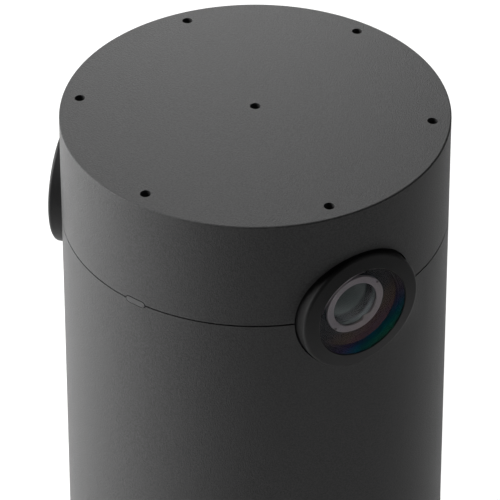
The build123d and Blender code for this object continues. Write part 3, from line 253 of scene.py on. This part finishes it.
def chip_epoxy(name, colour):
    """Moulded epoxy of chips, switches and connectors: fine grit, corners lightened as a painted
    sheen.
    """
    n = Nodes(name)
    grit = n.noise(5200.0, 3.0, 0.7)
    gritty = tuple(1.5 * channel + 0.004 for channel in colour)
    # painted sheen: a lighter colour for corners and edges
    corner_sheen_colour = tuple(min(1.0, 2.2 * channel + 0.01) for channel in colour)
    base = n.mix(n.span(grit, 0, 1, 0.35, 0.65), colour, gritty)
    base = n.mix(n.edges(0.0002, 0.4), base, corner_sheen_colour)
    return n.finish(base, n.span(grit, 0.42, 0.58), n.bump(grit, FINE_RELIEF))


def flat_cable_film(name):
    """Amber film over fine copper conductors that run along the cable."""
    n = Nodes(name)
    n.set(Coat_Weight=0.5, Coat_Roughness=0.15)
    wires = n.add("ShaderNodeTexWave", bands_direction="X")
    wires.inputs["Scale"].default_value = 420.0
    n.link(n.place, wires.inputs["Vector"])
    film = n.noise(160.0, 3.0)
    base = n.mix(wires.outputs["Fac"], (0.34, 0.13, 0.025), (0.55, 0.27, 0.08))
    base = n.mix(n.span(film, 0, 0.4), base, (0.42, 0.2, 0.05))
    return n.finish(base, n.span(film, 0.3, 0.45), n.bump(wires.outputs["Fac"], TRACK_RELIEF))


def smoked_guide(name, colour):
    """Smoked light guide, nearly the colour of the shell, polished under fine handling marks."""
    n = Nodes(name)
    n.set(Specular_IOR_Level=0.4, Transmission_Weight=0.1)
    haze = n.noise(700.0, 4.0, 0.7)
    scuffs = n.noise(240.0, 5.0, 0.75, (1, 1, 6))
    base = n.mix(n.span(haze, 0, 1, 0.35, 0.65), colour, shade(colour, 1.25))
    return n.finish(base, n.span(scuffs, 0.32, 0.46), n.bump(haze, 0.000004))


def coated_glass(name):
    """Dark front glass with a painted reflection tint: its film turns from purple to teal, low and
    to the rear, set by position on the glass.
    """
    n = Nodes(name)
    n.set(Base_Color=(0.93, 0.95, 0.96, 1), Transmission_Weight=1.0, Thin_Film_IOR=FILM_INDEX)
    slope = n.along(TO_REAR_AND_DOWN, GLASS)
    # painted reflection tint: film thickness set by position along the slope, not by the view
    film = n.span(slope, *FILM_NANOMETRES, *FILM_REACH)
    n.link(film, n.shader.inputs["Thin Film Thickness"])
    # painted reflection strength: index set by position along the slope
    n.link(n.span(slope, *GLASS_INDEX, *GLASS_REACH), n.shader.inputs["IOR"])
    smears = n.noise(300.0, 4.0, 0.7)
    return n.finish(None, n.span(smears, 0.0, 0.03, 0.5, 0.8))


def inner_glass(name):
    """Grey-green inner element, its colour a painted stand-in for blurred reflections, with one
    soft dark band painted across it as a painted reflection.
    """
    n = Nodes(name)
    n.set(Transmission_Weight=0.35, IOR=1.4, Specular_IOR_Level=0.5)
    slope = n.along(TO_REAR_AND_DOWN, GLASS)
    # painted reflection: a soft dark band across the element, fixed in place on the glass
    into_dark_reflection = n.span(slope, 0.0, 1.0, *DARK_REFLECTION_START)
    out_of_dark_reflection = n.span(slope, 1.0, 0.0, *DARK_REFLECTION_END)
    dark_reflection = n.math("MULTIPLY", into_dark_reflection, out_of_dark_reflection)
    haze = n.noise(420.0, 3.0, 0.6)
    # painted reflection: grey-green colour standing in for blurred reflections in the glass
    base = n.mix(n.span(haze, 0, 1, 0.3, 0.7), (0.24, 0.28, 0.262), (0.3, 0.34, 0.32))
    base = n.mix(dark_reflection, base, (0.012, 0.013, 0.013))
    return n.finish(base, n.span(haze, 0.2, 0.28))


GRAPHITE = (0.049, 0.049, 0.0492)
MATERIALS = {
    "graphite_shell": lambda name: moulded_plastic(
        name, GRAPHITE, 0.5, 0.18, 0.3, SHELL_GRAIN, SHELL_RELIEF
    ),
    "light_guide": lambda name: smoked_guide(name, (0.036, 0.036, 0.037)),
    "base_plastic": lambda name: moulded_plastic(name, (0.02, 0.02, 0.021), 0.55),
    "button_plastic": lambda name: moulded_plastic(name, (0.05, 0.05, 0.052), 0.42, 0.5, 0.2),
    "bezel_black": lambda name: moulded_plastic(
        name, (0.012, 0.012, 0.0123), 0.5, 0.22, 0.3, BEZEL_GRAIN, FINE_RELIEF
    ),
    "barrel_black": lambda name: moulded_plastic(
        name, (0.004, 0.004, 0.004), 0.6, 0.2, 0.2, BARREL_GRAIN, FINE_RELIEF
    ),
    "rubber": lambda name: soft_rubber(name, (0.012, 0.012, 0.012)),
    "seal_foam": lambda name: soft_rubber(name, (0.003, 0.003, 0.003), 0.9),
    "pad_grey": lambda name: soft_rubber(name, (0.3, 0.32, 0.35), 0.6),
    "brass_insert": lambda name: metal(name, (0.72, 0.52, 0.22), 0.3, "brushed", (1, 1, 12)),
    "plated_steel": lambda name: metal(name, (0.55, 0.55, 0.56), 0.35, "brushed", (1, 12, 1)),
    "black_screw": lambda name: metal(name, (0.07, 0.07, 0.072), 0.38),
    "plated_screw": lambda name: metal(name, (0.62, 0.61, 0.58), 0.26),
    "cast_aluminium": lambda name: metal(name, (0.6, 0.61, 0.62), 0.48, "cast"),
    "sink_aluminium": lambda name: metal(name, (0.56, 0.57, 0.6), 0.36, "brushed", (1, 1, 0.04)),
    "tin_shield": lambda name: metal(name, (0.66, 0.65, 0.63), 0.3, "brushed", (12, 1, 1)),
    "gold_contact": lambda name: metal(name, (0.85, 0.62, 0.26), 0.22),
    "ring_grey": lambda name: moulded_plastic(
        name, (0.42, 0.355, 0.37), 0.55, 0.4, 0.08, RING_GRAIN, FINE_RELIEF
    ),
    "board_green": circuit_board,
    "chip_black": lambda name: chip_epoxy(name, (0.012, 0.012, 0.013)),
    "switch_black": lambda name: chip_epoxy(name, (0.01, 0.01, 0.01)),
    "connector_ivory": lambda name: chip_epoxy(name, (0.6, 0.54, 0.42)),
    "sensor_dark": lambda name: chip_epoxy(name, (0.03, 0.02, 0.06)),
    "led_white": lambda name: chip_epoxy(name, (0.7, 0.66, 0.45)),
    "flex_amber": flat_cable_film,
    "coated_glass": coated_glass,
    "inner_glass": inner_glass,
}


def dress_cad_nodes():
    """Give every CAD node the finished material of its slot."""
    made = {slot: make(slot) for slot, make in MATERIALS.items()}
    for part in frame["record"]["subparts"]:
        materials = frame["nodes"][part["node"]].data.materials
        materials.clear()
        materials.append(made[part["material_slot"]])


dress_cad_nodes()

# ---- Floor, light and camera --------------------------------------------------------------------
FLOOR_HALF = 6.0
CAMERA_AZIMUTH = radians(36.5)
CAMERA_ELEVATION = 34.62  # degrees
CAMERA_DISTANCE = 0.665
AIM_BELOW_RIM = 0.0390
AIM_TO_LEFT = 0.0012
CAMERA_ROLL = radians(-0.07)
CAMERA_LENS = 215.7
ROOM_GLOW = 0.02
LIGHT_DISTANCE = 0.9
# name, azimuth from the camera and elevation in degrees, width and height in metres, watts
LIGHTS = (
    ("key", -110, 22, 0.35, 1.0, 6.6),
    ("key_front", -92, 22, 0.35, 1.0, 12.2),
    ("fill_right", 70, 20, 0.35, 1.0, 0.6),
    ("back", -178, 26, 0.35, 1.0, 5.1),
)


def plain_floor():
    """Large pale floor under the foot, with a faint mottle."""
    mesh = bpy.data.meshes.new("floor")
    corners = [(x * FLOOR_HALF, y * FLOOR_HALF, 0) for x, y in ((-1, -1), (1, -1), (1, 1), (-1, 1))]
    mesh.from_pydata(corners, [], [(0, 1, 2, 3)])
    floor = bpy.data.objects.new("floor", mesh)
    bpy.context.collection.objects.link(floor)
    n = Nodes("floor")
    n.set(Roughness=0.9, Specular_IOR_Level=0.0)
    mottle = n.noise(9.0, 2.0)
    mesh.materials.append(n.finish(n.mix(mottle, (0.96, 0.96, 0.96), (0.98, 0.98, 0.98))))


def from_camera(azimuth, elevation):
    """Unit vector at an azimuth measured from the camera's side, and an elevation."""
    turned = CAMERA_AZIMUTH + radians(azimuth)
    level = cos(radians(elevation))
    return Vector((level * sin(turned), -level * cos(turned), sin(radians(elevation))))


def soft_light(name, azimuth, elevation, width, height, power):
    """Rectangular softbox that looks at the lenses."""
    light = bpy.data.lights.new(name, "AREA")
    light.shape = "RECTANGLE"
    light.size = width
    light.size_y = height
    light.energy = power
    holder = bpy.data.objects.new(name, light)
    direction = from_camera(azimuth, elevation)
    holder.location = Vector((0, 0, SEAM)) + LIGHT_DISTANCE * direction
    holder.rotation_euler = direction.to_track_quat("Z", "Y").to_euler()
    bpy.context.collection.objects.link(holder)


def white_room(strength):
    """Faint even light from all round."""
    world = bpy.data.worlds.new("room")
    world.use_nodes = True
    background = world.node_tree.nodes["Background"]
    background.inputs["Color"].default_value = (1, 1, 1, 1)
    background.inputs["Strength"].default_value = strength
    bpy.context.scene.world = world


def make_camera():
    """Long lens that looks down at the top of the column."""
    camera = bpy.data.cameras.new("camera_view")
    camera.lens = CAMERA_LENS
    camera.clip_start = 0.01
    eye = Vector((0, 0, RIM)) + CAMERA_DISTANCE * from_camera(0, CAMERA_ELEVATION)
    right = Vector((cos(CAMERA_AZIMUTH), sin(CAMERA_AZIMUTH), 0))
    aim = Vector((0, 0, RIM - AIM_BELOW_RIM)) - AIM_TO_LEFT * right
    turn = (aim - eye).to_track_quat("-Z", "Y").to_matrix().to_4x4()
    holder = bpy.data.objects.new("camera_view", camera)
    holder.location = eye
    holder.rotation_euler = (turn @ Matrix.Rotation(CAMERA_ROLL, 4, "Z")).to_euler()
    bpy.context.collection.objects.link(holder)
    bpy.context.scene.camera = holder


plain_floor()
white_room(ROOM_GLOW)
for light_setting in LIGHTS:
    soft_light(*light_setting)
make_camera()
bpy.context.scene.view_settings.view_transform = "Standard"
